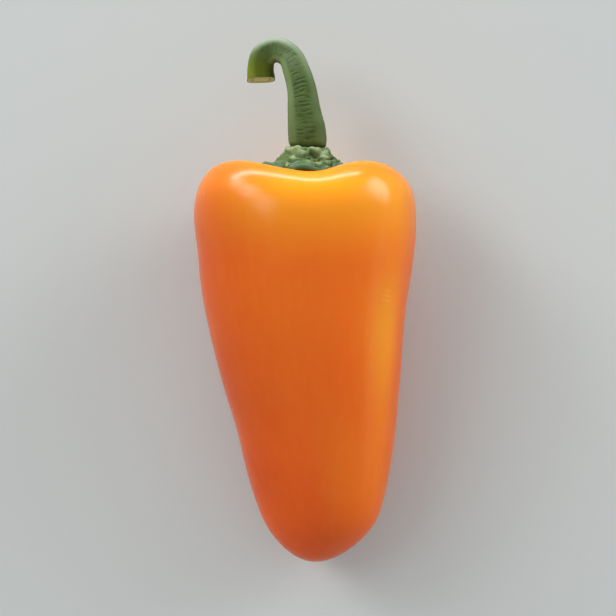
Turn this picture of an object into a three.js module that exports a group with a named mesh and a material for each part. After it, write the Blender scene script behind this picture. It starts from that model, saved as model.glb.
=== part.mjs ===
// A small sweet pepper, picked with its stalk and laid down on its back. Millimetres, +Z up.
// The origin is on the surface it lies on, under the middle of its box, and its stalk points along +Y.
// It is drawn hanging, as it grew: +Z to the stalk, +X to its right, -Y to its front, and z = 0 at the
// height of its shoulders. The group at the end lays it down.
import * as THREE from 'three';

// Clear space between two pieces that touch on the real pepper.
const GAP = 0.3;

// How it lies: the fruit's axis rises towards the stalk, and the skin is flat where it rests.
const LEAN = THREE.MathUtils.degToRad(7.4);
const FLAT_DEPTH = 0.4;

// Fruit. Rings of the skin, from the seat of the calyx over the shoulders to the tip: how far down each
// lies, and how far it reaches to the left, right, front and back.
const RINGS = [
  { down: 3.6, left: 0.0, right: 0.0, front: 0.0, back: 0.0 },
  { down: 3.0, left: 5.6, right: 6.6, front: 6.0, back: 6.0 },
  { down: 1.3, left: 12.4, right: 11.6, front: 11.8, back: 11.8 },
  { down: 0.35, left: 18.2, right: 17.5, front: 16.4, back: 16.8 },
  { down: 4.6, left: 22.0, right: 22.2, front: 20.7, back: 21.2 },
  { down: 11.5, left: 23.2, right: 23.5, front: 21.9, back: 22.3 },
  { down: 18.9, left: 22.45, right: 23.2, front: 21.6, back: 21.9 },
  { down: 26.5, left: 21.7, right: 22.0, front: 20.7, back: 20.6 },
  { down: 34.3, left: 20.35, right: 20.9, front: 19.6, back: 19.1 },
  { down: 42.0, left: 18.6, right: 20.4, front: 18.2, back: 17.6 },
  { down: 49.8, left: 16.4, right: 19.7, front: 16.6, back: 16.9 },
  { down: 57.4, left: 14.0, right: 18.95, front: 15.0, back: 16.3 },
  { down: 65.0, left: 12.25, right: 17.85, front: 13.5, back: 15.0 },
  { down: 72.6, left: 9.95, right: 16.2, front: 11.4, back: 12.8 },
  { down: 79.4, left: 6.3, right: 12.1, front: 7.6, back: 9.0 },
  { down: 84.4, left: 0.0, right: 0.0, front: 0.0, back: 0.0 },
];
const SEAT_AT = { x: 0.6, y: 0.0 };
const TIP_AT = { x: 2.2, y: 0.8 };
const FRUIT_STEPS = 45;
const FRUIT_SIDES = 56;

// Creases between its lobes: their directions in degrees, from the right to the back and the left, how
// deep each is beside the others, and how wide. The front one is wider towards the left.
const CREASES = [
  { at: 0, depth: 0.55, width: 30 },
  { at: 90, depth: 1.4, width: 28 },
  { at: 180, depth: 0.35, width: 30 },
  { at: 246, depth: 0.35, width: 20 },
  { at: 277, depth: 1.15, width: 27 },
];
// How deep a crease of depth 1 is, as a share of the radius, and how far the shoulder sags in it. Both are
// most at a ring, and fade out over some rings above and below it. The crowns grow by a part of the depth.
const CREASE_ON_SHOULDER = 0.05;
const CREASE_BELOW = 0.018;
const CREASE_SAG = 2.45;
const DEEPEST = { at: 4, above: 2.5, below: 4 };
const MOST_SAG = { at: 2.8, above: 1.3, below: 2 };
const CROWN_GROWTH = 0.45;
// How many rings next to the seat and next to the tip the creases need to reach their depth.
const CREASE_START = 2;
const CREASE_END = 3;

// Calyx. How high its upper side stands above the skin, by steps of a ring outwards from its middle: the
// socket for the stalk, the rim of the collar, its flank and the start of the skirt.
const CALYX_RISE = [
  [0.0, 5.5],
  [0.5, 5.35],
  [0.6, 5.5],
  [0.68, 5.8],
  [0.74, 5.0],
  [0.8, 4.0],
  [0.92, 3.0],
  [1.06, 2.1],
];
const SKIRT_THICKNESS = 0.8;
const SKIRT_REACH = 1.16;
const CALYX_SIDES = 80;
const SKIRT_STEPS = 6;
const UNDERSIDE_STEPS = 6;

// Its teeth: their directions in degrees, from the right to the back and the left, and how long each is.
const TEETH = [
  { at: -8, share: 0.85 },
  { at: 62, share: 1.0 },
  { at: 133, share: 0.8 },
  { at: 194, share: 1.0 },
  { at: 266, share: 0.75 },
];
const TOOTH_REACH = 0.33;
const TOOTH_HALF_WIDTH = 38;
const TOOTH_TAPER = 1.4;
const TOOTH_CURL = 0.9;
// The ridge along each tooth: its height, and where it starts, is full and begins to fade.
const RIDGE_HEIGHT = 1.1;
const RIDGE = { start: 0.66, full: 0.82, fade: 0.95 };

// Stalk. Its middle line from the calyx over the hook to the cut, with its radius there.
const STALK = [
  { x: 0.6, y: 0.0, z: 2.4, radius: 3.5 },
  { x: 0.6, y: 0.0, z: 2.8, radius: 3.85 },
  { x: 0.6, y: 0.0, z: 3.5, radius: 4.15 },
  { x: 0.35, y: 0.05, z: 6.5, radius: 4.18 },
  { x: -0.18, y: 0.2, z: 10.5, radius: 3.68 },
  { x: -0.65, y: 0.55, z: 14.7, radius: 3.27 },
  { x: -1.7, y: 1.2, z: 18.65, radius: 3.0 },
  { x: -3.2, y: 2.2, z: 21.95, radius: 2.75 },
  { x: -6.0, y: 3.4, z: 23.45, radius: 2.8 },
  { x: -8.7, y: 4.4, z: 22.3, radius: 2.9 },
  { x: -9.4, y: 5.0, z: 19.6, radius: 2.95 },
  { x: -9.3, y: 5.3, z: 17.2, radius: 3.15 },
];
const STALK_STEPS = 46;
const STALK_SIDES = 30;
const RIBS = 4;
const RIB_HEIGHT = 0.06;
const RIB_TURN = 0.84;
const CUT_SLANT = 0.25;
const SLANTED_STEPS = 6;

const skinMaterial = new THREE.MeshStandardMaterial({ color: 0xe3781f, roughness: 0.3, metalness: 0 });
const calyxMaterial = new THREE.MeshStandardMaterial({ color: 0x567a4c, roughness: 0.7, metalness: 0 });
const stalkMaterial = new THREE.MeshStandardMaterial({ color: 0x6d8a55, roughness: 0.65, metalness: 0 });

// Closed solid through rings of points, which turn counterclockwise seen from the first end.
function loft(first, rings, last) {
  const sides = rings[0].length;
  const points = [first, ...rings.flat(), last];
  const at = (ring, side) => 1 + ring * sides + (side % sides);
  const faces = [];
  for (let side = 0; side < sides; side++) {
    faces.push(0, at(0, side), at(0, side + 1));
    for (let ring = 0; ring + 1 < rings.length; ring++) {
      faces.push(at(ring, side), at(ring + 1, side), at(ring + 1, side + 1));
      faces.push(at(ring, side), at(ring + 1, side + 1), at(ring, side + 1));
    }
    faces.push(at(rings.length - 1, side), points.length - 1, at(rings.length - 1, side + 1));
  }
  const geometry = new THREE.BufferGeometry().setFromPoints(points);
  geometry.setIndex(faces);
  geometry.computeVertexNormals();
  return geometry;
}

// Values between the rings: a smooth curve of third degree through them. Both ends are poles, where the
// curve runs on as its own mirror image, and a reach (odd) also changes its sign. The curve's weights are
// corrected in rounds until it meets the values.
const CORRECTION_ROUNDS = 60;
function smoothThrough(values, odd) {
  const sign = odd ? -1 : 1;
  const last = values.length - 1;
  const weights = values.slice();
  for (let round = 0; round < CORRECTION_ROUNDS; round++) {
    const before = weights.slice();
    for (let i = 0; i <= last; i++) {
      const left = i > 0 ? before[i - 1] : sign * before[1];
      const right = i < last ? before[i + 1] : sign * before[last - 1];
      weights[i] = before[i] + values[i] - (left + 4 * before[i] + right) / 6;
    }
  }
  const padded = [sign * weights[1], ...weights, sign * weights[last - 1]];
  return (t) => {
    const i = Math.min(Math.floor(t), last - 1);
    const u = t - i;
    const [a, b, c, d] = padded.slice(i, i + 4);
    const rising = 3 * u ** 3 - 6 * u ** 2 + 4;
    const falling = -3 * u ** 3 + 3 * u ** 2 + 3 * u + 1;
    return (a * (1 - u) ** 3 + b * rising + c * falling + d * u ** 3) / 6;
  };
}

const lastRing = RINGS.length - 1;
const middleX = RINGS.map((ring) => (ring.right - ring.left) / 2);
const middleY = RINGS.map((ring) => (ring.back - ring.front) / 2);
middleX[0] = SEAT_AT.x;
middleY[0] = SEAT_AT.y;
middleX[lastRing] = TIP_AT.x;
middleY[lastRing] = TIP_AT.y;
const downAt = smoothThrough(RINGS.map((ring) => ring.down), false);
const middleXAt = smoothThrough(middleX, false);
const middleYAt = smoothThrough(middleY, false);
const halfWidthAt = smoothThrough(RINGS.map((ring) => (ring.right + ring.left) / 2), true);
const halfDepthAt = smoothThrough(RINGS.map((ring) => (ring.back + ring.front) / 2), true);

// How far a direction, in radians, is aside of another one in degrees: 0 to 180 degrees.
function degreesAside(angle, at) {
  const degrees = THREE.MathUtils.radToDeg(angle);
  return Math.abs(THREE.MathUtils.euclideanModulo(degrees - at + 180, 360) - 180);
}

// How deep in the creases a direction is: about 0 on the crown of a lobe.
function creaseAt(angle) {
  let crease = 0;
  for (const { at, depth, width } of CREASES) {
    crease += depth * Math.exp(-((degreesAside(angle, at) / width) ** 2));
  }
  return crease;
}

function bell(t, { at, above, below }) {
  return Math.exp(-(((t - at) / (t < at ? above : below)) ** 2));
}

// A point of the fruit's skin: t counts the rings from the top, and the angle turns from the right (0) to
// the back, the left and the front.
function skinPoint(t, angle) {
  const crease = creaseAt(angle);
  const fromTop = THREE.MathUtils.clamp(t / CREASE_START, 0, 1) ** 2;
  const fromTip = THREE.MathUtils.smoothstep(lastRing - t, 0, CREASE_END);
  const onShoulder = (CREASE_ON_SHOULDER - CREASE_BELOW) * bell(t, DEEPEST);
  const share = (CREASE_BELOW + onShoulder) * fromTop * fromTip;
  const stretch = (1 - share * crease) / (1 - CROWN_GROWTH * share);
  const sag = CREASE_SAG * bell(t, MOST_SAG) * fromTop * crease;
  return new THREE.Vector3(
    middleXAt(t) + halfWidthAt(t) * stretch * Math.cos(angle),
    middleYAt(t) + halfDepthAt(t) * stretch * Math.sin(angle),
    -downAt(t) - sag,
  );
}

const fullTurn = (side, sides) => (2 * Math.PI * side) / sides;

function ringOf(sides, point) {
  return Array.from({ length: sides }, (_, side) => point(fullTurn(side, sides)));
}

// Presses the skin flat on the surface the pepper lies on.
function pressFlat(points) {
  const downwards = new THREE.Vector3(0, Math.cos(LEAN), -Math.sin(LEAN));
  const floor = Math.max(...points.map((point) => point.dot(downwards))) - FLAT_DEPTH;
  for (const point of points) {
    point.addScaledVector(downwards, -Math.max(0, point.dot(downwards) - floor));
  }
}

function makeFruit() {
  const rings = [];
  for (let step = 1; step < FRUIT_STEPS; step++) {
    const t = (lastRing * step) / FRUIT_STEPS;
    rings.push(ringOf(FRUIT_SIDES, (angle) => skinPoint(t, angle)));
  }
  pressFlat(rings.flat());
  const fruit = new THREE.Mesh(loft(skinPoint(0, 0), rings, skinPoint(lastRing, 0)), skinMaterial);
  fruit.name = 'fruit';
  return fruit;
}

// How much of a tooth there is in a direction of the calyx: most in its middle, and 0 between two teeth.
function toothAt(angle) {
  let tooth = 0;
  for (const { at, share } of TEETH) {
    const aside = degreesAside(angle, at) / TOOTH_HALF_WIDTH;
    const wave = 0.5 + 0.5 * Math.cos(Math.PI * Math.min(1, aside));
    tooth += share * wave ** TOOTH_TAPER;
  }
  return tooth;
}

// A point of the calyx over the skin. Along the teeth its skirt curls up at the tips.
function calyxPoint(t, angle, rise) {
  const point = skinPoint(t, angle);
  const curl = THREE.MathUtils.smoothstep(t, SKIRT_REACH, SKIRT_REACH + TOOTH_REACH);
  point.z += rise + TOOTH_CURL * curl * toothAt(angle);
  return point;
}

// The ridge along a tooth: it starts under the rim of the collar and fades out towards the tip.
function ridgeAt(t, angle) {
  const start = THREE.MathUtils.smoothstep(t, RIDGE.start, RIDGE.full);
  const end = THREE.MathUtils.smoothstep(t, RIDGE.fade, SKIRT_REACH + TOOTH_REACH);
  return RIDGE_HEIGHT * start * (1 - end) * toothAt(angle);
}

function makeCalyx() {
  const [flankEnd, flankRise] = CALYX_RISE.at(-1);
  const rings = [];
  for (const [t, rise] of CALYX_RISE.slice(1)) {
    rings.push(ringOf(CALYX_SIDES, (angle) => calyxPoint(t, angle, rise + ridgeAt(t, angle))));
  }
  const edgeAt = (angle) => SKIRT_REACH + TOOTH_REACH * toothAt(angle);
  for (let step = 1; step <= SKIRT_STEPS; step++) {
    const share = step / SKIRT_STEPS;
    const rise = THREE.MathUtils.lerp(flankRise, GAP + SKIRT_THICKNESS, share);
    rings.push(ringOf(CALYX_SIDES, (angle) => {
      const t = THREE.MathUtils.lerp(flankEnd, edgeAt(angle), share);
      return calyxPoint(t, angle, rise + ridgeAt(t, angle));
    }));
  }
  for (let step = 0; step < UNDERSIDE_STEPS; step++) {
    const share = 1 - step / UNDERSIDE_STEPS;
    rings.push(ringOf(CALYX_SIDES, (angle) => calyxPoint(edgeAt(angle) * share, angle, GAP)));
  }
  const top = calyxPoint(0, 0, CALYX_RISE[0][1]);
  const calyx = new THREE.Mesh(loft(top, rings, calyxPoint(0, 0, GAP)), calyxMaterial);
  calyx.name = 'calyx';
  return calyx;
}

// The stalk is drawn from the cut end down to the calyx. Its section has soft ribs, and across it runs
// from the left to the front and the right.
function makeStalk() {
  const line = STALK.map(({ x, y, z }) => new THREE.Vector3(x, y, z)).reverse();
  const path = new THREE.CatmullRomCurve3(line, false, 'centripetal');
  const radii = STALK.map(({ radius }) => new THREE.Vector2(radius, 0)).reverse();
  const radiusLine = new THREE.SplineCurve(radii);
  const rings = [];
  for (let step = 0; step <= STALK_STEPS; step++) {
    const share = step / STALK_STEPS;
    const middle = path.getPoint(share);
    const along = path.getTangent(share);
    const across = new THREE.Vector3(0, 1, 0).cross(along).normalize();
    const inwards = new THREE.Vector3().crossVectors(across, along).normalize();
    const radius = radiusLine.getPoint(share).x;
    const slant = CUT_SLANT * Math.max(0, 1 - step / SLANTED_STEPS);
    rings.push(ringOf(STALK_SIDES, (angle) => {
      const ribbed = radius * (1 + RIB_HEIGHT * Math.cos(RIBS * (angle + RIB_TURN)));
      return middle.clone()
        .addScaledVector(across, ribbed * Math.cos(angle))
        .addScaledVector(inwards, ribbed * Math.sin(angle))
        .addScaledVector(along, ribbed * slant * Math.sin(angle));
    }));
  }
  const stalk = new THREE.Mesh(loft(path.getPoint(0), rings, path.getPoint(1)), stalkMaterial);
  stalk.name = 'stalk';
  return stalk;
}

// Lays the pepper on its back, and sets the origin under the middle of its box.
const lying = new THREE.Group();
lying.add(makeFruit(), makeCalyx(), makeStalk());
lying.rotation.x = LEAN - Math.PI / 2;
lying.updateMatrixWorld(true);
const box = new THREE.Box3().setFromObject(lying, true);
lying.position.set(-(box.min.x + box.max.x) / 2, -(box.min.y + box.max.y) / 2, -box.min.z);

const pepper = new THREE.Group();
pepper.add(lying);

export default pepper;
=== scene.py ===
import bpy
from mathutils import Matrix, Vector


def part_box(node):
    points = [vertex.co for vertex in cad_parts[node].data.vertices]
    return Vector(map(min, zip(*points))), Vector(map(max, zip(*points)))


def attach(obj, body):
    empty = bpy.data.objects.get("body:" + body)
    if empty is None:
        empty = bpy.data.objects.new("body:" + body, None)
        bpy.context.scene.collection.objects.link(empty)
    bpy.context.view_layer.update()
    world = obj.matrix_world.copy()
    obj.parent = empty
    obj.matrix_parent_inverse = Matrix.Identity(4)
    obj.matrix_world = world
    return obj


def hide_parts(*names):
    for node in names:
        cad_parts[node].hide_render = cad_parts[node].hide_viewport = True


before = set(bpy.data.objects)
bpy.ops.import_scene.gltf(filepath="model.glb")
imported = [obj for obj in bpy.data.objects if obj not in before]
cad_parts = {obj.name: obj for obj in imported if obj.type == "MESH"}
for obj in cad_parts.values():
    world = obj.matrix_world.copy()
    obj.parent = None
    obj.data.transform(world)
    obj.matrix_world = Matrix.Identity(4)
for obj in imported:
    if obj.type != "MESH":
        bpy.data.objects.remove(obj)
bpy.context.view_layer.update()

# A small sweet pepper, picked with its stalk and laid on its back, seen from above in soft daylight.
# It is drawn hanging, as it grew, in millimetres: +Z to the stalk, +X to its right, -Y to its front, and
# z = 0 at the height of its shoulders. lay_down() turns such a shape onto its back, in metres.
import math

import bpy
import numpy as np
from mathutils import Matrix, Vector, noise

MM = 0.001

# How it lies: the fruit's axis rises towards the stalk, and the skin is flat where it rests.
LEAN = math.radians(7.4)
FLAT_DEPTH = 0.4

# Rings of the fruit's skin, from the seat of the calyx over the shoulders to the tip, in millimetres:
# how far down each lies, and how far it reaches to the left, right, front and back.
RINGS = [
    (3.6, 0.0, 0.0, 0.0, 0.0),
    (3.0, 5.6, 6.6, 6.0, 6.0),
    (1.3, 12.4, 11.6, 11.8, 11.8),
    (0.35, 18.2, 17.5, 16.4, 16.8),
    (4.6, 22.0, 22.2, 20.7, 21.2),
    (11.5, 23.2, 23.5, 21.9, 22.3),
    (18.9, 22.45, 23.2, 21.6, 21.9),
    (26.5, 21.7, 22.0, 20.7, 20.6),
    (34.3, 20.35, 20.9, 19.6, 19.1),
    (42.0, 18.6, 20.4, 18.2, 17.6),
    (49.8, 16.4, 19.7, 16.6, 16.9),
    (57.4, 14.0, 18.95, 15.0, 16.3),
    (65.0, 12.25, 17.85, 13.5, 15.0),
    (72.6, 9.95, 16.2, 11.4, 12.8),
    (79.4, 6.3, 12.1, 7.6, 9.0),
    (84.4, 0.0, 0.0, 0.0, 0.0),
]
LAST_RING = len(RINGS) - 1
FRUIT_LENGTH = RINGS[-1][0]
SEAT_AT, TIP_AT = (0.6, 0.0), (2.2, 0.8)
FRUIT_STEPS, FRUIT_SIDES = 300, 300

# Creases between its lobes: direction in degrees, where 0 is right, 90 back, 180 left and 270 front, depth
# beside the others, and width. The last two make one front crease that is wider towards the left.
CREASES = [(0, 0.55, 30), (90, 1.4, 28), (180, 0.35, 30), (246, 0.35, 20), (277, 1.15, 27)]
# How deep a crease of depth 1 is, as a share of the radius, and how far the shoulder sags in it. Both are
# most at a ring, and fade out over some rings above and below it. The crowns grow by a part of the depth.
CREASE_ON_SHOULDER, CREASE_BELOW, CREASE_SAG = 0.05, 0.018, 2.45
DEEPEST, MOST_SAG, CROWN_GROWTH = (4, 2.5, 4), (2.8, 1.3, 2), 0.45
# How many rings next to the seat and next to the tip the creases need to reach their depth.
CREASE_START, CREASE_END = 2, 3

# Small unevenness of the skin: height and width of the swellings.
SWELLINGS = [(0.16, 17.0), (0.03, 5.0)]
# The dried scar near the tip: its ring and direction, and the size of the hollow and of the nub in it.
SCAR_AT = (14.62, math.radians(70))
SCAR_WIDTH, SCAR_DEPTH = 1.0, 0.35
NUB_WIDTH, NUB_HEIGHT = 0.35 * SCAR_WIDTH, 0.8 * SCAR_DEPTH

# Painted shade, darker on the far left and right sides, and where the right lobe is yellower: how much, from
# where to where on a side, by the cosine of the direction, and from which ring to which downwards. Neither
# reaches the tip, which is even all round.
SIDE_SHADE, SIDE_SHADE_LEFT, SIDE_SHADE_RIGHT, SIDE_SHADE_BELOW = 0.85, (0.1, 1.0), (0.75, 1.0), (2.0, 5.0)
SIDE_SHADE_RIGHT_SHARE = 0.7
YELLOWER, YELLOWER_RIGHT, YELLOWER_BELOW = 0.45, (-0.2, 0.45), (9.0, 12.5)
EVEN_TIP = (12.0, 14.5)
# The yellower stripe down the right lobe, painted light where the light from the right falls: its direction
# and width in degrees, and the ring where it is most, with how many rings it fades over above and below.
LIT_STRIPE_AT, LIT_STRIPE_WIDTH, LIT_STRIPE_RUN = 321, 13, (8.1, 1.7, 2.2)
# A few fine pale dashes across that stripe, a painted highlight broken up by the skin's cells: their ring and
# direction, how pale they are, how far apart, and from where to where they fade out beside that place.
DASHES_AT = (7.3, math.radians(320))
DASHES_PALE, DASHES_SPACING, DASHES_FADE = 0.5, 3.1, (0.6, 2.2)

# Calyx: how high its upper side stands above the skin, by steps of a ring outwards from its middle: the
# socket for the stalk, the rim of the collar, its flank and the start of the skirt.
CALYX_RISE = [
    (0.0, 5.5),
    (0.5, 5.35),
    (0.6, 5.5),
    (0.68, 5.8),
    (0.74, 5.0),
    (0.8, 4.0),
    (0.92, 3.0),
    (1.06, 2.1),
]
SKIN_GAP, SKIRT_THICKNESS, SKIRT_REACH = 0.12, 0.8, 1.16
# Its innermost ring, how far its round edge stands out, and where the underside starts inside the edge.
INNERMOST, ROUND_EDGE, UNDERSIDE_START = 0.02, 0.04, 0.97
CALYX_SIDES, FLANK_STEPS, SKIRT_STEPS, UNDERSIDE_STEPS = 360, 60, 32, 12

# Its teeth: their directions in degrees, as for the creases, and how long each is.
TEETH = [(-8, 0.85), (62, 1.0), (133, 0.8), (194, 1.0), (266, 0.75)]
TOOTH_REACH, TOOTH_HALF_WIDTH, TOOTH_TAPER, TOOTH_CURL = 0.33, 38, 1.4, 0.9
# The ridge along each tooth: its height, and where it starts, is full and begins to fade.
RIDGE_HEIGHT, RIDGE_START, RIDGE_FULL, RIDGE_FADE = 1.1, 0.66, 0.82, 0.95
# Folds of the collar, one under another: their spacing, depth and how far they wander up and down, and the
# height of the knobs on them. They begin outside the socket, between the two rings in FOLDS_BEGIN.
FOLD_SPACING, FOLD_DEPTH, FOLD_WANDER, KNOB_HEIGHT = 1.6, 0.18, 0.8, 0.4
FOLDS_BEGIN = (0.58, 0.7)
# The lip of the collar stands up round the foot of the stalk: its ring, width in rings, and height.
LIP_AT, LIP_WIDTH, LIP_HEIGHT = 0.69, 0.05, 0.25
# The knobs and the hollow that stand out most on its front: ring, direction in degrees, height and width.
BIG_KNOBS = [
    (0.7, 238, 0.4, 1.2),
    (0.75, 287, 0.3, 1.2),
    (0.84, 282, -0.75, 1.0),
    (0.77, 322, 0.5, 1.0),
    (0.9, 306, 0.35, 1.0),
]
# Its colours, painted light and shade: how deep a hollow is where its painted shade begins and is darkest,
# how high a crown is where its painted highlight is palest, where the socket has painted shade and how much,
# and the ring, width and paleness of the painted highlight on the rim of the collar. The bluish part of the
# skirt, painted sky light on its shaded edge, is as wide as BLUISH_EDGE, in rings.
DARK_HOLLOW, PALE_CROWN = (0.1, 0.34), (0.0, 0.45)
DARK_SOCKET, SOCKET_SHARE = (0.56, 0.65), 0.8
PALE_RIM_AT, PALE_RIM_WIDTH, PALE_RIM_SHARE = 0.67, 0.04, 0.6
BLUISH_EDGE = 0.3

# Stalk: its middle line from the calyx over the hook to the cut, with its radius there.
STALK = [
    (0.6, 0.0, 2.4, 3.5),
    (0.6, 0.0, 2.8, 3.85),
    (0.6, 0.0, 3.5, 4.15),
    (0.35, 0.05, 6.5, 4.18),
    (-0.18, 0.2, 10.5, 3.68),
    (-0.65, 0.55, 14.7, 3.27),
    (-1.7, 1.2, 18.65, 3.0),
    (-3.2, 2.2, 21.95, 2.75),
    (-6.0, 3.4, 23.45, 2.8),
    (-8.7, 4.4, 22.3, 2.9),
    (-9.4, 5.0, 19.6, 2.95),
    (-9.3, 5.3, 17.2, 3.15),
]
STALK_STEPS, STALK_SIDES, CUT_STEPS = 420, 150, 24
RIBS, RIB_HEIGHT, RIB_TURN = 4, 0.06, 0.84
# The cut slants over the last millimetres. Its face bulges a little, and is sunk at the pith.
CUT_SLANT, SLANTED_LENGTH, CUT_ROUNDING = 0.25, 3, 0.04
CUT_BULGE, PITH_DEPTH, PITH_WIDTH, PITH_RING = 0.12, 0.15, 0.45, 0.03
# Wrinkles across it, and long fibres: their size. STALK_ROUND is its usual radius, for unrolling its side.
WRINKLE_SPACING, WRINKLE_WANDER, WRINKLE_DEPTH = 0.95, 0.6, 0.11
FIBRE_WIDTH, FIBRE_LENGTH, FIBRE_HEIGHT = 0.45, 9, 0.04
STALK_ROUND = 3
# Along its line from the calyx: where the wrinkles begin, and where they grow fainter before the hook. The
# end is smooth, by its line from the cut.
WRINKLES_BEGIN, WRINKLES_FADE, FADED_SHARE = (0.5, 1.5), (17, 22), 0.6
SMOOTH_END = (0.8, 2.5)
# Its colours: how dark the painted shade in the wrinkles is. The painted shade in the crease at its foot, by
# height. The grey bloom on the hook, with a painted sheen on its upward faces, by height, and where to the
# right it grows fainter. The yellower end, the painted shade on the inner side of the hook and the paler
# ribs, by its line from the calyx.
WRINKLE_SHADE_SHARE = 0.42
FOOT_SHADE_HEIGHTS, FOOT_SHADE_SHARE = (2.9, 3.9), 0.65
BLOOM_UP, BLOOM_RIGHT, BLOOM_LOSS = (14, 22), (-5.5, -1.5), 0.45
YELLOW_END, BLOOM_COVER = (25, 31), 0.7
INSIDE_SHADE_RUN, INSIDE_SHADE_SHARE = (26, 31), 0.6
PALER_RIBS = (4, 14)

# Patterns of the surfaces, by their sizes in millimetres. The skin's cells are drawn coarser than they are,
# so that they show. A streak is as wide as STREAK_STRETCH of its length.
PATCH, STREAK, SPECK_SPACING, SKIN_CELL, SKIN_CELL_HEIGHT = 19, 1.4, 9, 0.5, 0.02
STREAK_STRETCH = 0.07
CALYX_PATCH, CALYX_GRAIN, STALK_PATCH, STALK_GRAIN, GRAIN_HEIGHT = 2.2, 0.25, 3.0, 0.22, 0.05

# Where the pepper is in the picture: 616 pixels wide, with its axis and its shoulders on these pixels.
PICTURE = 616
AXIS_PIXEL, SHOULDER_PIXEL = 305.0, 160.0
MM_PER_PIXEL = 0.21
# How far off the camera is and how far the floor reaches, in metres, and the sensor in millimetres.
CAMERA_DISTANCE, FLOOR_REACH, SENSOR = 0.6, 3.0, 36.0

# Daylight: the strength of the even sky, and its bright gaps in the clouds, each with its direction, how wide
# it is in degrees, and its strength.
SKY_STRENGTH = 0.62
SKY_GAPS = [
    ((-0.74, 0.60, 0.26), 15, 8.6),
    ((-0.70, 0.42, 0.58), 15, 8.6),
    ((-0.56, 0.14, 0.82), 14, 5.0),
    ((0.84, 0.51, 0.14), 26, 9.8),
    ((0.72, 0.45, 0.53), 18, 1.5),
    ((0.95, -0.20, 0.18), 16, 0.6),
]
# The long soft light beyond the stalk, which draws the bright band along the shoulders, in metres and watts.
BAND_LIGHT_SIZE, BAND_LIGHT_POWER = (1.25, 0.14), 10.5
BAND_LIGHT_AT, BAND_LIGHT_AIM = (-0.25, 0.92, 0.13), (0, 0.01, 0.02)


def smoothstep(x, low, high):
    """Rises softly from 0 at low to 1 at high."""
    share = np.clip((x - low) / (high - low), 0, 1)
    return share * share * (3 - 2 * share)


def hump(x, at, width):
    """Rises softly to 1 at a place, and falls as softly on its other side."""
    return np.exp(-(((x - at) / width) ** 2))


def bell(t, at, above, below):
    """A hump that is wider on one side than on the other, by rings."""
    return np.exp(-(((t - at) / np.where(t < at, above, below)) ** 2))


def smooth_through(values, odd):
    """Smooth curve through values, mirrored at both poles, and turned over there if it is a reach (odd)."""
    sign = -1 if odd else 1
    values = np.array(values, float)
    weights = values.copy()
    rounds = 60
    for _ in range(rounds):
        before = np.concatenate([[sign * weights[1]], weights[:-1]])
        after = np.concatenate([weights[1:], [sign * weights[-2]]])
        weights = weights + values - (before + 4 * weights + after) / 6
    padded = np.concatenate([[sign * weights[1]], weights, [sign * weights[-2]]])

    def curve(t):
        i = np.minimum(np.floor(t).astype(int), len(values) - 2)
        u = t - i
        rising = 3 * u**3 - 6 * u**2 + 4
        falling = -3 * u**3 + 3 * u**2 + 3 * u + 1
        upper = padded[i] * (1 - u) ** 3 + padded[i + 1] * rising
        return (upper + padded[i + 2] * falling + padded[i + 3] * u**3) / 6

    return curve


down, left, right, front, back = np.array(RINGS).T
middle_x, middle_y = (right - left) / 2, (back - front) / 2
middle_x[0], middle_y[0] = SEAT_AT
middle_x[-1], middle_y[-1] = TIP_AT
down_at = smooth_through(down, False)
middle_x_at, half_width_at = smooth_through(middle_x, False), smooth_through((right + left) / 2, True)
middle_y_at, half_depth_at = smooth_through(middle_y, False), smooth_through((back + front) / 2, True)


def degrees_aside(angle, at):
    """How far directions, in radians, are aside of another one in degrees: 0 to 180 degrees."""
    return np.abs((np.degrees(angle) - at + 180) % 360 - 180)


def crease_at(angle):
    """How deep in the creases a direction is: about 0 on the crown of a lobe."""
    return sum(depth * hump(degrees_aside(angle, at), 0, width) for at, depth, width in CREASES)


def skin_points(t, angle):
    """Points of the skin. t counts the rings from the top, angle turns from the right by way of the back."""
    t, angle = np.broadcast_arrays(np.asarray(t, float), np.asarray(angle, float))
    crease = crease_at(angle)
    from_top = np.clip(t / CREASE_START, 0, 1) ** 2
    on_shoulder = (CREASE_ON_SHOULDER - CREASE_BELOW) * bell(t, *DEEPEST)
    share = (CREASE_BELOW + on_shoulder) * from_top * smoothstep(LAST_RING - t, 0, CREASE_END)
    stretch = (1 - share * crease) / (1 - CROWN_GROWTH * share)
    x = middle_x_at(t) + half_width_at(t) * stretch * np.cos(angle)
    y = middle_y_at(t) + half_depth_at(t) * stretch * np.sin(angle)
    z = -down_at(t) - CREASE_SAG * bell(t, *MOST_SAG) * from_top * crease
    return np.stack([x, y, z], -1)


def turn(sides):
    """Directions all round, in radians."""
    return np.arange(sides) * 2 * math.pi / sides


def lumps(points, width, seed):
    """Soft noise between about -1 and 1, with lumps of that width in millimetres. Each seed has its own."""
    seed_step = 17.3
    flat = (points / width + seed * seed_step).reshape(-1, 3)
    return np.array([noise.noise(Vector(p)) for p in flat]).reshape(points.shape[:-1])


def outward(rings):
    """Unit normals of a grid of rings, which turn counterclockwise seen from the first one."""
    along = np.gradient(rings, axis=0)
    around = np.roll(rings, -1, axis=1) - np.roll(rings, 1, axis=1)
    normals = np.cross(along, around)
    return normals / np.maximum(np.linalg.norm(normals, axis=-1, keepdims=True), 1e-9)


def lay_down(points):
    """The hanging pepper laid on its back, in metres, and moved onto the solid fruit."""
    turned = points @ turning.T
    return turned * MM + shift


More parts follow.
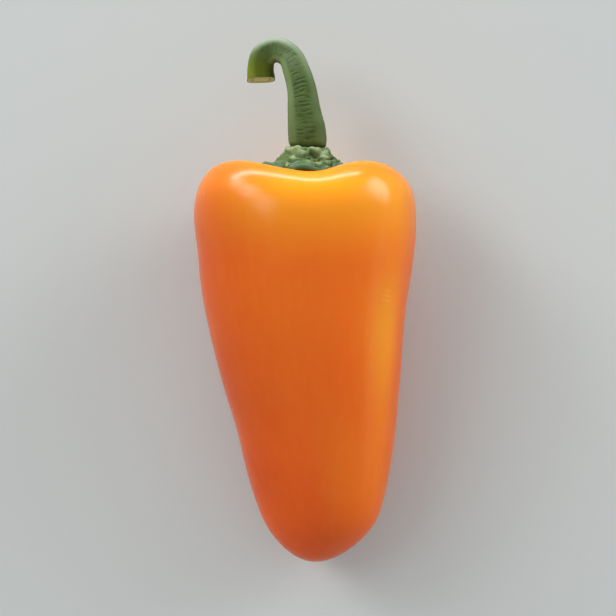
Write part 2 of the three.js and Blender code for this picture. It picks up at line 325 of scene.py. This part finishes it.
def loft(name, rings, first, last, marks):
    """Closed mesh over rings of points and two end points. marks are named values that its material reads."""
    steps, sides = rings.shape[:2]
    points = np.concatenate([[first], rings.reshape(-1, 3), [last]])
    at = 1 + np.arange(steps * sides).reshape(steps, sides)
    beside = np.roll(at, -1, axis=1)
    quads = np.stack([at[:-1], at[1:], beside[1:], beside[:-1]], -1).reshape(-1, 4)
    end = len(points) - 1
    first_fan = [(0, a, b) for a, b in zip(at[0], beside[0])]
    last_fan = [(a, end, b) for a, b in zip(at[-1], beside[-1])]
    mesh = bpy.data.meshes.new(name)
    mesh.from_pydata(lay_down(points).tolist(), [], quads.tolist() + first_fan + last_fan)
    mesh.shade_smooth()
    for mark, values in marks.items():
        values = np.concatenate([[values[0].mean()], values.ravel(), [values[-1].mean()]])
        mesh.attributes.new(mark, "FLOAT", "POINT").data.foreach_set("value", values.astype(np.float32))
    piece = bpy.data.objects.new(name, mesh)
    bpy.context.scene.collection.objects.link(piece)
    return piece


def place(piece, node, material):
    """Gives a piece its material, and puts it in place of a node of the solid model."""
    piece.data.materials.append(material)
    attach(piece, "root")
    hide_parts(node)


# Materials

def linear(colour):
    """An sRGB hex colour as linear red, green, blue and alpha."""
    channels = [int(colour[i:i + 2], 16) / 255 for i in (0, 2, 4)]
    return [c / 12.92 if c <= 0.04045 else ((c + 0.055) / 1.055) ** 2.4 for c in channels] + [1.0]


def add(tree, kind, sockets, **settings):
    """Adds a node. sockets are its inputs, by name or number: each a value, or another node's output."""
    made = tree.nodes.new(kind)
    for name, value in settings.items():
        setattr(made, name, value)
    for name, value in sockets.items():
        if isinstance(value, bpy.types.NodeSocket):
            tree.links.new(value, made.inputs[name])
        else:
            made.inputs[name].default_value = value
    return made


def new_material(name):
    material = bpy.data.materials.new(name)
    material.use_nodes = True
    material.node_tree.nodes.clear()
    return material, material.node_tree


# Numbers of a Mix node's colour sockets, because their names aren't unique
MIX_FACTOR, MIX_A, MIX_B, MIX_RESULT = 0, 6, 7, 2


def waxy_pepper_skin():
    """Ripe pepper skin: even cells under a thin natural wax, glossy, and light sinks in a little way."""
    material, tree = new_material("waxy_pepper_skin")
    place_on = add(tree, "ShaderNodeTexCoord", {}).outputs["Object"]
    down, scar, yellower, side_shade, pale, highlight_dashes = (
        add(tree, "ShaderNodeAttribute", {}, attribute_name=mark).outputs["Fac"]
        for mark in ("down", "scar", "yellower", "side_shade", "pale", "highlight_dashes")
    )
    below_shoulder = add(tree, "ShaderNodeMapRange", {
        "Value": down, "From Min": 6.5, "From Max": 24.0,
    }, interpolation_type="SMOOTHSTEP").outputs[0]
    at_rim = add(tree, "ShaderNodeMapRange", {
        "Value": down, "From Min": 6.0, "From Max": 2.0,
    }, interpolation_type="SMOOTHSTEP").outputs[0]
    to_tip = add(tree, "ShaderNodeMapRange", {
        "Value": down, "From Min": 30.0, "From Max": FRUIT_LENGTH,
    }).outputs[0]
    patches = add(tree, "ShaderNodeTexNoise", {
        "Vector": place_on, "Scale": 1 / (PATCH * MM), "Detail": 2.0,
    }).outputs[0]
    patched = add(tree, "ShaderNodeMapRange", {
        "Value": patches, "From Min": 0.3, "From Max": 0.7, "To Min": 0.0, "To Max": 0.12,
    }).outputs[0]
    stretched = add(tree, "ShaderNodeMapping", {
        "Vector": place_on, "Scale": (1.0, STREAK_STRETCH, 1.0),
    }).outputs[0]
    streaks = add(tree, "ShaderNodeTexNoise", {
        "Vector": stretched, "Scale": 1 / (STREAK * MM), "Detail": 3.0,
    }).outputs[0]
    streaked = add(tree, "ShaderNodeMapRange", {
        "Value": streaks, "From Min": 0.4, "From Max": 0.75, "To Min": 0.0, "To Max": 0.05,
    }).outputs[0]
    speck = add(tree, "ShaderNodeTexVoronoi", {
        "Vector": place_on, "Scale": 1 / (SPECK_SPACING * MM),
    }).outputs["Distance"]
    specked = add(tree, "ShaderNodeMapRange", {
        "Value": speck, "From Min": 0.014, "From Max": 0.026, "To Min": 0.55, "To Max": 0.0,
    }).outputs[0]
    lines = add(tree, "ShaderNodeTexWave", {
        "Vector": place_on, "Scale": 1 / (DASHES_SPACING * MM), "Distortion": 0.5, "Detail": 1.0,
    }, bands_direction="Y").outputs["Fac"]
    crisp = add(tree, "ShaderNodeMapRange", {
        "Value": lines, "From Min": 0.55, "From Max": 0.9,
    }).outputs[0]
    dashed_highlight = add(tree, "ShaderNodeMath", {0: crisp, 1: highlight_dashes}, operation="MULTIPLY").outputs[0]
    # yellow orange on the shoulders, partly painted light where the light from above falls brightest, and
    # over it the other colours, each by its own share
    colour = linear("F29614")
    for share, other in [
        # deep orange in the middle
        (below_shoulder, "EC690A"),
        # the rim round the calyx is a deeper orange than the shoulders
        (at_rim, "D67E0E"),
        # reddest at the tip, partly painted shade where the skin turns down, away from the light
        (to_tip, "DC4A06"),
        # the right lobe is yellower than the left one, most of all low down
        (yellower, "E67C0A"),
        # painted shade: the far left and right sides are darker and redder
        (side_shade, "B83E06"),
        # painted light: a yellower stripe down the right lobe, where the light from the right falls
        (pale, "EA8A10"),
        # soft patches a finger wide, and faint streaks that run down the fruit
        (patched, "EE7E1E"),
        (streaked, "F59A3C"),
        # a few pale specks, a third of a millimetre across
        (specked, "F7B978"),
        # painted highlight: fine pale dashes across the skin, where the glint on the stripe breaks up
        (dashed_highlight, "F2A044"),
        (scar, "7A4A22"),
    ]:
        colour = add(tree, "ShaderNodeMix", {
            MIX_FACTOR: share, MIX_A: colour, MIX_B: linear(other),
        }, data_type="RGBA").outputs[MIX_RESULT]
    cells = add(tree, "ShaderNodeTexNoise", {
        "Vector": place_on, "Scale": 1 / (SKIN_CELL * MM), "Detail": 2.0,
    }).outputs[0]
    bump = add(tree, "ShaderNodeBump", {
        "Height": cells, "Strength": 0.2, "Distance": SKIN_CELL_HEIGHT * MM,
    }).outputs[0]
    sheen = add(tree, "ShaderNodeMapRange", {
        "Value": patches, "From Min": 0.3, "From Max": 0.7, "To Min": 0.3, "To Max": 0.4,
    }).outputs[0]
    # all its gloss is in the wax, which is the coat
    skin = add(tree, "ShaderNodeBsdfPrincipled", {
        "Base Color": colour, "Roughness": sheen, "IOR": 1.45, "Normal": bump,
        "Subsurface Weight": 0.25, "Subsurface Radius": (1.0, 0.35, 0.08), "Subsurface Scale": 2.5 * MM,
        "Specular IOR Level": 0.0, "Coat Weight": 0.7, "Coat Roughness": 0.21, "Coat IOR": 1.42,
    }).outputs[0]
    add(tree, "ShaderNodeOutputMaterial", {"Surface": skin})
    return material


def green_calyx():
    """Living calyx tissue: matte, thick and folded green, with painted shade in its folds, painted highlights
    on its crowns and painted bluish sky light at its edge.
    """
    material, tree = new_material("green_calyx")
    place_on = add(tree, "ShaderNodeTexCoord", {}).outputs["Object"]
    fold_shade, edge, crown_highlight = (
        add(tree, "ShaderNodeAttribute", {}, attribute_name=mark).outputs["Fac"]
        for mark in ("fold_shade", "edge", "crown_highlight")
    )
    patches = add(tree, "ShaderNodeTexNoise", {
        "Vector": place_on, "Scale": 1 / (CALYX_PATCH * MM), "Detail": 3.0,
    }).outputs[0]
    patched = add(tree, "ShaderNodeMapRange", {
        "Value": patches, "From Min": 0.35, "From Max": 0.65,
    }).outputs[0]
    # two greens in patches, painted bluish sky light at the edge, a painted highlight on the crowns, and
    # painted shade in the folds and socket
    colour = linear("40532A")
    for share, other in [(patched, "55693A"), (edge, "48684F"), (crown_highlight, "82946A"), (fold_shade, "26330F")]:
        colour = add(tree, "ShaderNodeMix", {
            MIX_FACTOR: share, MIX_A: colour, MIX_B: linear(other),
        }, data_type="RGBA").outputs[MIX_RESULT]
    grain = add(tree, "ShaderNodeTexNoise", {
        "Vector": place_on, "Scale": 1 / (CALYX_GRAIN * MM), "Detail": 2.0,
    }).outputs[0]
    bump = add(tree, "ShaderNodeBump", {
        "Height": grain, "Strength": 0.4, "Distance": GRAIN_HEIGHT * MM,
    }).outputs[0]
    leaf = add(tree, "ShaderNodeBsdfPrincipled", {
        "Base Color": colour, "Roughness": 0.6, "IOR": 1.42, "Specular IOR Level": 0.2, "Normal": bump,
        "Subsurface Weight": 0.1, "Subsurface Radius": (0.4, 0.6, 0.2), "Subsurface Scale": 1.0 * MM,
    }).outputs[0]
    add(tree, "ShaderNodeOutputMaterial", {"Surface": leaf})
    return material


def ribbed_stalk():
    """Pepper stalk: firm matte green skin over fibres, with a grey bloom and painted sheen, pale ribs and
    painted shade in its wrinkles.
    """
    material, tree = new_material("ribbed_stalk")
    place_on = add(tree, "ShaderNodeTexCoord", {}).outputs["Object"]
    rib, wrinkle, bloom, shaded, cut, core = (
        add(tree, "ShaderNodeAttribute", {}, attribute_name=mark).outputs["Fac"]
        for mark in ("rib", "wrinkle", "bloom", "shaded", "cut", "core")
    )
    patches = add(tree, "ShaderNodeTexNoise", {
        "Vector": place_on, "Scale": 1 / (STALK_PATCH * MM), "Detail": 3.0,
    }).outputs[0]
    patched = add(tree, "ShaderNodeMapRange", {
        "Value": patches, "From Min": 0.35, "From Max": 0.65,
    }).outputs[0]
    # two greens in patches, paler ribs, a yellower green that grew in the shade, bloom with a painted sheen,
    # and painted shade in the wrinkles, the crease at the foot and inside the hook
    side = linear("3F5124")
    for share, other in [
        (patched, "4C5F2F"),
        (rib, "677A49"),
        (shaded, "667213"),
        (bloom, "87937C"),
        (wrinkle, "2C3A14"),
    ]:
        side = add(tree, "ShaderNodeMix", {
            MIX_FACTOR: share, MIX_A: side, MIX_B: linear(other),
        }, data_type="RGBA").outputs[MIX_RESULT]
    # the cut, outwards from its middle: a pale pith, a darker ring of fibres, pale flesh and a green rim
    fibres = add(tree, "ShaderNodeMapRange", {
        "Value": core, "From Min": 0.5, "From Max": 0.62,
    }, interpolation_type="SMOOTHSTEP").outputs[0]
    flesh = add(tree, "ShaderNodeMapRange", {
        "Value": core, "From Min": 0.68, "From Max": 0.78,
    }, interpolation_type="SMOOTHSTEP").outputs[0]
    rim = add(tree, "ShaderNodeMapRange", {
        "Value": core, "From Min": 0.9, "From Max": 0.98,
    }).outputs[0]
    section = linear("B4C48A")
    for share, other in [(fibres, "86995A"), (flesh, "A9BC7C"), (rim, "5F7C44")]:
        section = add(tree, "ShaderNodeMix", {
            MIX_FACTOR: share, MIX_A: section, MIX_B: linear(other),
        }, data_type="RGBA").outputs[MIX_RESULT]
    colour = add(tree, "ShaderNodeMix", {
        MIX_FACTOR: cut, MIX_A: side, MIX_B: section,
    }, data_type="RGBA").outputs[MIX_RESULT]
    grain = add(tree, "ShaderNodeTexNoise", {
        "Vector": place_on, "Scale": 1 / (STALK_GRAIN * MM), "Detail": 2.0,
    }).outputs[0]
    bump = add(tree, "ShaderNodeBump", {
        "Height": grain, "Strength": 0.35, "Distance": GRAIN_HEIGHT * MM,
    }).outputs[0]
    rind = add(tree, "ShaderNodeBsdfPrincipled", {
        "Base Color": colour, "Roughness": 0.55, "IOR": 1.42, "Specular IOR Level": 0.2, "Normal": bump,
        "Subsurface Weight": 0.08, "Subsurface Radius": (0.4, 0.6, 0.2), "Subsurface Scale": 1.0 * MM,
    }).outputs[0]
    add(tree, "ShaderNodeOutputMaterial", {"Surface": rind})
    return material


def pale_table():
    """Matte painted board, even and pale, so that it only takes the pepper's shadow."""
    material, tree = new_material("pale_table")
    paint = add(tree, "ShaderNodeBsdfPrincipled", {
        "Base Color": linear("BFBFBB"), "Roughness": 0.9, "Specular IOR Level": 0.2,
    }).outputs[0]
    add(tree, "ShaderNodeOutputMaterial", {"Surface": paint})
    return material


# Fruit

def press_flat(rings):
    """Presses the skin flat on the surface it lies on."""
    reach = rings @ downwards
    floor = reach.max() - FLAT_DEPTH
    return rings - np.maximum(0, reach - floor)[..., None] * downwards


def fruit_rings():
    """The skin's rings of points, and the marks that its material reads."""
    t = (np.arange(1, FRUIT_STEPS) * LAST_RING / FRUIT_STEPS)[:, None]
    angle = turn(FRUIT_SIDES)
    to_right = np.cos(angle)
    rings = skin_points(t, angle)
    swell = sum(height * lumps(rings, width, seed) for seed, (height, width) in enumerate(SWELLINGS))
    from_scar = np.linalg.norm(rings - skin_points(*SCAR_AT), axis=-1)
    scar = hump(from_scar, 0, SCAR_WIDTH)
    relief = swell - SCAR_DEPTH * scar + NUB_HEIGHT * hump(from_scar, 0, NUB_WIDTH)
    raised = rings + outward(rings) * relief[..., None]
    at_sides = smoothstep(-to_right, *SIDE_SHADE_LEFT) + SIDE_SHADE_RIGHT_SHARE * smoothstep(to_right, *SIDE_SHADE_RIGHT)
    low_right = smoothstep(to_right, *YELLOWER_RIGHT) * smoothstep(t, *YELLOWER_BELOW)
    before_tip = 1 - smoothstep(t, *EVEN_TIP)
    lit_stripe = hump(degrees_aside(angle, LIT_STRIPE_AT), 0, LIT_STRIPE_WIDTH)
    from_dashes = np.linalg.norm(rings - skin_points(*DASHES_AT), axis=-1)
    # the scar's dry skin fills the middle of the hollow, and ends inside its edge
    marks = {
        "down": -rings[..., 2],
        "scar": np.clip(scar * 1.3 - 0.2, 0, 1),
        # painted light down the right lobe
        "pale": lit_stripe * bell(t, *LIT_STRIPE_RUN),
        # painted shade on the far left and right sides
        "side_shade": SIDE_SHADE * at_sides * smoothstep(t, *SIDE_SHADE_BELOW) * before_tip,
        "yellower": YELLOWER * low_right * before_tip,
        # painted highlight in fine dashes
        "highlight_dashes": DASHES_PALE * (1 - smoothstep(from_dashes, *DASHES_FADE)),
    }
    return press_flat(raised), marks


# Calyx

def tooth_at(angle):
    """How much of a tooth there is in a direction: most in its middle, and 0 between two teeth."""
    tooth = 0
    for at, share in TEETH:
        aside = degrees_aside(angle, at) / TOOTH_HALF_WIDTH
        wave = 0.5 + 0.5 * np.cos(math.pi * np.minimum(1, aside))
        tooth = tooth + share * wave**TOOTH_TAPER
    return tooth


def rise_at(t):
    """How high the calyx stands above the skin, from its middle to the start of its skirt."""
    steps, rises = np.array(CALYX_RISE).T
    return np.interp(t, steps, rises)


def calyx_path(edge):
    """From the middle over the flank, skirt and edge, and under it back to the middle: ring, and lift."""
    flank_end, flank_rise = CALYX_RISE[-1]
    flank = np.linspace(INNERMOST, flank_end, FLANK_STEPS)[:, None] + 0 * edge
    share = (np.arange(1, SKIRT_STEPS + 1) / SKIRT_STEPS)[:, None]
    skirt = flank_end + (edge - flank_end) * share
    skirt_rise = flank_rise + (SKIN_GAP + SKIRT_THICKNESS - flank_rise) * share + 0 * skirt
    corner = np.linspace(0, math.pi, UNDERSIDE_STEPS)[:, None]
    rounded = edge + ROUND_EDGE * np.sin(corner)
    rounded_rise = SKIN_GAP + SKIRT_THICKNESS * (0.5 + 0.5 * np.cos(corner)) + 0 * rounded
    under = edge * np.linspace(UNDERSIDE_START, INNERMOST, UNDERSIDE_STEPS)[:, None]
    under_rise = np.full(under.shape, SKIN_GAP)
    t = np.concatenate([flank, skirt, rounded, under])
    return t, np.concatenate([rise_at(flank), skirt_rise, rounded_rise, under_rise])


def collar_relief(rings, t):
    """Height of the collar's folds, knobs and lip. The folds run round it, and the knobs break them up."""
    steps = np.linalg.norm(np.diff(rings, axis=0), axis=-1)
    slope = np.concatenate([np.zeros((1, CALYX_SIDES)), np.cumsum(steps, axis=0)])
    wandering = lumps(rings * (1, 1, 0.4), width=2.6, seed=5) + 0.5 * lumps(rings, width=1.3, seed=15)
    wave = np.cos(2 * math.pi * (slope / FOLD_SPACING + FOLD_WANDER * wandering))
    knobs = lumps(rings * (1, 1, 1.5), width=1.9, seed=6) + 0.4 * lumps(rings, width=0.85, seed=7)
    patchy = smoothstep(lumps(rings, width=3.0, seed=8), -0.3, 0.2)
    lip = LIP_HEIGHT * hump(t, LIP_AT, LIP_WIDTH)
    relief = FOLD_DEPTH * wave * (0.4 + 0.6 * patchy) + KNOB_HEIGHT * knobs + lip
    for at, towards, height, width in BIG_KNOBS:
        middle = skin_points(at, math.radians(towards)) + (0, 0, rise_at(at))
        relief = relief + height * hump(np.linalg.norm(rings - middle, axis=-1), 0, width)
    return relief


def make_calyx():
    angle = turn(CALYX_SIDES)
    tooth = tooth_at(angle)
    edge = SKIRT_REACH + TOOTH_REACH * tooth
    t, lift = calyx_path(edge)
    above = np.arange(len(t))[:, None] < FLANK_STEPS + SKIRT_STEPS
    reach = SKIRT_REACH + TOOTH_REACH
    before_end = 1 - smoothstep(t, RIDGE_FADE, reach)
    ridge = RIDGE_HEIGHT * smoothstep(t, RIDGE_START, RIDGE_FULL) * before_end * tooth
    curl = TOOTH_CURL * smoothstep(t, SKIRT_REACH, reach) * tooth
    rings = skin_points(t, angle)
    rings[..., 2] += lift + np.where(above, ridge, 0) + curl
    shown = smoothstep(t, *FOLDS_BEGIN) * np.where(above, 1, 0)
    relief = collar_relief(rings, t)
    rings = rings + outward(rings) * (relief * shown)[..., None]
    # painted shade in the hollows and the socket, a painted highlight on the crowns and the rim of the
    # collar, and painted bluish sky light at the edge and all underneath
    hollow_shade = smoothstep(-relief, *DARK_HOLLOW) * shown
    socket_shade = 1 - smoothstep(t, *DARK_SOCKET)
    rim = PALE_RIM_SHARE * hump(t, PALE_RIM_AT, PALE_RIM_WIDTH)
    blotches = smoothstep(lumps(rings, width=2.4, seed=12), -0.5, 0.3)
    marks = {
        "fold_shade": np.clip(hollow_shade + SOCKET_SHARE * socket_shade, 0, 1),
        "crown_highlight": np.maximum(smoothstep(relief, *PALE_CROWN) * shown, rim),
        "edge": np.where(above, smoothstep(t, edge - BLUISH_EDGE, edge) * blotches, 1.0),
    }
    return loft("pepper_calyx", rings, rings[0].mean(0), rings[-1].mean(0), marks)


# Stalk

def stalk_line(share):
    """Middle line and radius of the stalk, for shares of its way from the cut to the calyx."""
    points = np.array(STALK)[::-1]
    padded = np.concatenate([[2 * points[0] - points[1]], points, [2 * points[-1] - points[-2]]])
    i = np.minimum((share * (len(points) - 1)).astype(int), len(points) - 2)
    u = (share * (len(points) - 1) - i)[:, None]
    before, start, end, after = (padded[i + k] for k in range(4))
    # the square roots of the distances keep the line smooth where its points are near each other
    first, middle, last = (
        np.linalg.norm((b - a)[:, :3], axis=1, keepdims=True) ** 0.5
        for a, b in ((before, start), (start, end), (end, after))
    )
    leaving = (start - before) / first - (end - before) / (first + middle) + (end - start) / middle
    arriving = (end - start) / middle - (after - start) / (middle + last) + (after - end) / last
    return (
        start * (1 - 3 * u**2 + 2 * u**3)
        + end * (3 * u**2 - 2 * u**3)
        + leaving * middle * (u - 2 * u**2 + u**3)
        + arriving * middle * (u**3 - u**2)
    )


def stalk_tube(line, angle, rib, length):
    """Rings of the ribbed stalk round its line, the first ones slanted as the cut is."""
    middle, radius = line[:, None, :3], line[:, None, 3]
    along = np.gradient(line[:, :3], axis=0)
    along /= np.linalg.norm(along, axis=1, keepdims=True)
    across = np.cross([0, 1, 0], along)
    across /= np.linalg.norm(across, axis=1, keepdims=True)
    inwards = np.cross(across, along)
    slant = CUT_SLANT * np.clip(1 - length / SLANTED_LENGTH, 0, 1)
    cosine, sine = np.cos(angle), np.sin(angle)
    return middle + (radius * (1 + RIB_HEIGHT * rib))[..., None] * (
        across[:, None] * cosine[None, :, None]
        + inwards[:, None] * sine[None, :, None]
        + along[:, None] * (slant * sine)[..., None]
    )


def stalk_wrinkles(rings, unrolled, rib, length, from_calyx):
    """How deep each point is in a wrinkle. They cross the flats between the ribs, mostly near the calyx."""
    wander = WRINKLE_WANDER * lumps(unrolled * (0.5, 0.5, 0.9), width=1.0, seed=9)
    wave = np.cos(2 * math.pi * (from_calyx / WRINKLE_SPACING + wander))
    broken = smoothstep(lumps(unrolled * (1.2, 1.2, 1.3), width=1.0, seed=14), -0.35, 0.3)
    crinkle = smoothstep(wave, -0.2, 1.0) * broken
    before_hook = 1 - FADED_SHARE * smoothstep(from_calyx, *WRINKLES_FADE)
    straight = smoothstep(from_calyx, *WRINKLES_BEGIN) * before_hook
    patchy = smoothstep(lumps(rings, width=3.5, seed=10), -0.6, 0.0)
    wrinkle = crinkle * straight * (0.5 + 0.5 * patchy) * smoothstep(-rib, -0.95, 0.25)
    return wrinkle * smoothstep(length, *SMOOTH_END)


def cut_face(edge):
    """Rings of the cut face outwards to the stalk's edge, its middle point, and how far out each ring is."""
    core = np.linspace(1, PITH_RING, CUT_STEPS)
    heart = edge.mean(0)
    facing = np.cross(edge[STALK_SIDES // 4] - heart, edge[0] - heart)
    facing /= np.linalg.norm(facing)
    bulge = CUT_BULGE * (1 - core**6) - PITH_DEPTH * hump(core, 0, PITH_WIDTH)
    narrowed = core * (1 - CUT_ROUNDING * (1 - core))
    face = heart + (edge - heart) * narrowed[:, None, None] + facing * bulge[:, None, None]
    return face[1:][::-1], heart + facing * bulge[-1], core[1:][::-1]


def with_cut(on_cut, on_side):
    """Values over the whole stalk: on the cut face, and then along its side."""
    cut = np.broadcast_to(on_cut, (CUT_STEPS - 1, STALK_SIDES))
    return np.concatenate([cut, np.broadcast_to(on_side, (STALK_STEPS + 1, STALK_SIDES))])


def make_stalk():
    line = stalk_line(np.linspace(0, 1, STALK_STEPS + 1))
    steps = np.linalg.norm(np.diff(line[:, :3], axis=0), axis=1)
    length = np.concatenate([[0], np.cumsum(steps)])[:, None]
    from_calyx = length[-1] - length
    angle = turn(STALK_SIDES)
    cosine, sine = np.cos(angle), np.sin(angle)
    rib = np.cos(RIBS * (angle + RIB_TURN))
    tube = stalk_tube(line, angle, rib, length)
    normals = outward(tube)
    round_x, round_y = STALK_ROUND * cosine, STALK_ROUND * sine
    unrolled = np.stack(np.broadcast_arrays(round_x, round_y, from_calyx), -1)
    wrinkle = stalk_wrinkles(tube, unrolled, rib, length, from_calyx)
    drawn_out = np.broadcast_arrays(round_x / FIBRE_WIDTH, round_y / FIBRE_WIDTH, from_calyx / FIBRE_LENGTH)
    fibres = lumps(np.stack(drawn_out, -1), width=1.0, seed=11)
    rings = tube + normals * (FIBRE_HEIGHT * fibres - WRINKLE_DEPTH * wrinkle)[..., None]
    # painted shade in the wrinkles, in the crease where the stalk comes out of the collar, and inside the
    # hook
    foot_shade = FOOT_SHADE_SHARE * (1 - smoothstep(tube[..., 2], *FOOT_SHADE_HEIGHTS))
    inside_shade = INSIDE_SHADE_SHARE * smoothstep(from_calyx, *INSIDE_SHADE_RUN) * smoothstep(normals[..., 0], -0.5, 0.5)
    painted_shade = np.maximum(np.maximum(WRINKLE_SHADE_SHARE * wrinkle, foot_shade), inside_shade)
    # grey bloom, with a painted sheen on the faces that turn up, where the light falls on the hook
    bloom = smoothstep(normals[..., 2], 0.0, 0.8) * smoothstep(rings[..., 2], *BLOOM_UP)
    bloom = bloom * (1 - BLOOM_LOSS * smoothstep(rings[..., 0], *BLOOM_RIGHT))
    # the ribs are palest towards the left, and high up
    pale = smoothstep(rib, 0.0, 1.0) * (0.2 + 0.8 * smoothstep(cosine, -0.3, 0.6))
    pale = pale * (0.5 + 0.5 * smoothstep(from_calyx, *PALER_RIBS))
    face, middle, core = cut_face(rings[0])
    marks = {
        "rib": with_cut(0.0, pale),
        "wrinkle": with_cut(0.0, painted_shade),
        "bloom": with_cut(0.0, bloom),
        "shaded": with_cut(0.0, smoothstep(from_calyx, *YELLOW_END) * (1 - BLOOM_COVER * bloom)),
        "cut": with_cut(1.0, 0.0),
        "core": with_cut(core[:, None], 1.0),
    }
    return loft("pepper_stalk", np.concatenate([face, rings]), middle, rings[-1].mean(0), marks)


# The hanging pepper turned on its back, with its fruit where the solid one lies
turning = np.array(Matrix.Rotation(LEAN - math.pi / 2, 3, "X"))
downwards = np.array([0, math.cos(LEAN), -math.sin(LEAN)])
skin, skin_marks = fruit_rings()
fruit_low, fruit_high = (np.array(corner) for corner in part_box("fruit"))
turned_skin = (skin @ turning.T).reshape(-1, 3) * MM
shift = (fruit_low + fruit_high) / 2 - (turned_skin.min(0) + turned_skin.max(0)) / 2
shift[2] = fruit_low[2] - turned_skin[:, 2].min()

fruit = loft("pepper_fruit", skin, skin[0].mean(0), skin[-1].mean(0), skin_marks)
place(fruit, "fruit", waxy_pepper_skin())
place(make_calyx(), "calyx", green_calyx())
place(make_stalk(), "stalk", ribbed_stalk())


# Floor, camera and light

def make_floor():
    mesh = bpy.data.meshes.new("floor")
    corners = [(FLOOR_REACH * x, FLOOR_REACH * y, 0) for x, y in ((-1, -1), (1, -1), (1, 1), (-1, 1))]
    mesh.from_pydata(corners, [], [(0, 1, 2, 3)])
    floor = bpy.data.objects.new("floor", mesh)
    bpy.context.scene.collection.objects.link(floor)
    mesh.materials.append(pale_table())


def make_camera():
    """Looks straight at the pepper's front, with the axis and the shoulders on their pixels."""
    data = bpy.data.cameras.new("camera")
    data.sensor_width = SENSOR
    data.lens = SENSOR * CAMERA_DISTANCE / (PICTURE * MM_PER_PIXEL * MM)
    camera = bpy.data.objects.new("camera", data)
    bpy.context.scene.collection.objects.link(camera)
    centre_x = (PICTURE / 2 - AXIS_PIXEL) * MM_PER_PIXEL
    centre_z = (SHOULDER_PIXEL - PICTURE / 2) * MM_PER_PIXEL
    camera.location = lay_down(np.array([centre_x, -CAMERA_DISTANCE / MM, centre_z]))
    camera.rotation_euler = (LEAN, 0, 0)
    bpy.context.scene.camera = camera


def make_band_light():
    data = bpy.data.lights.new("sky_over_stalk", "AREA")
    data.shape = "RECTANGLE"
    data.size, data.size_y = BAND_LIGHT_SIZE
    data.energy = BAND_LIGHT_POWER
    light = bpy.data.objects.new("sky_over_stalk", data)
    light.location = BAND_LIGHT_AT
    towards = Vector(BAND_LIGHT_AIM) - Vector(BAND_LIGHT_AT)
    light.rotation_euler = towards.to_track_quat("-Z", "Y").to_euler()
    bpy.context.scene.collection.objects.link(light)


def make_sky():
    """Even sky with soft bright gaps, which the skin mirrors as soft pale patches."""
    world = bpy.data.worlds.new("sky")
    world.use_nodes = True
    tree = world.node_tree
    tree.nodes.clear()
    towards = add(tree, "ShaderNodeTexCoord", {}).outputs["Generated"]
    strength = add(tree, "ShaderNodeValue", {}).outputs[0]
    strength.default_value = SKY_STRENGTH
    for direction, width, brightness in SKY_GAPS:
        facing = add(tree, "ShaderNodeVectorMath", {
            0: towards, 1: Vector(direction).normalized(),
        }, operation="DOT_PRODUCT").outputs["Value"]
        gap = add(tree, "ShaderNodeMapRange", {
            "Value": facing, "From Min": math.cos(math.radians(width)), "From Max": 1.0, "To Max": brightness,
        }, interpolation_type="SMOOTHSTEP").outputs[0]
        strength = add(tree, "ShaderNodeMath", {0: strength, 1: gap}, operation="ADD").outputs[0]
    sky = add(tree, "ShaderNodeBackground", {"Color": linear("E8EEF2"), "Strength": strength}).outputs[0]
    add(tree, "ShaderNodeOutputWorld", {"Surface": sky})
    bpy.context.scene.world = world


make_floor()
make_camera()
make_sky()
make_band_light()
bpy.context.scene.view_settings.view_transform = "Standard"
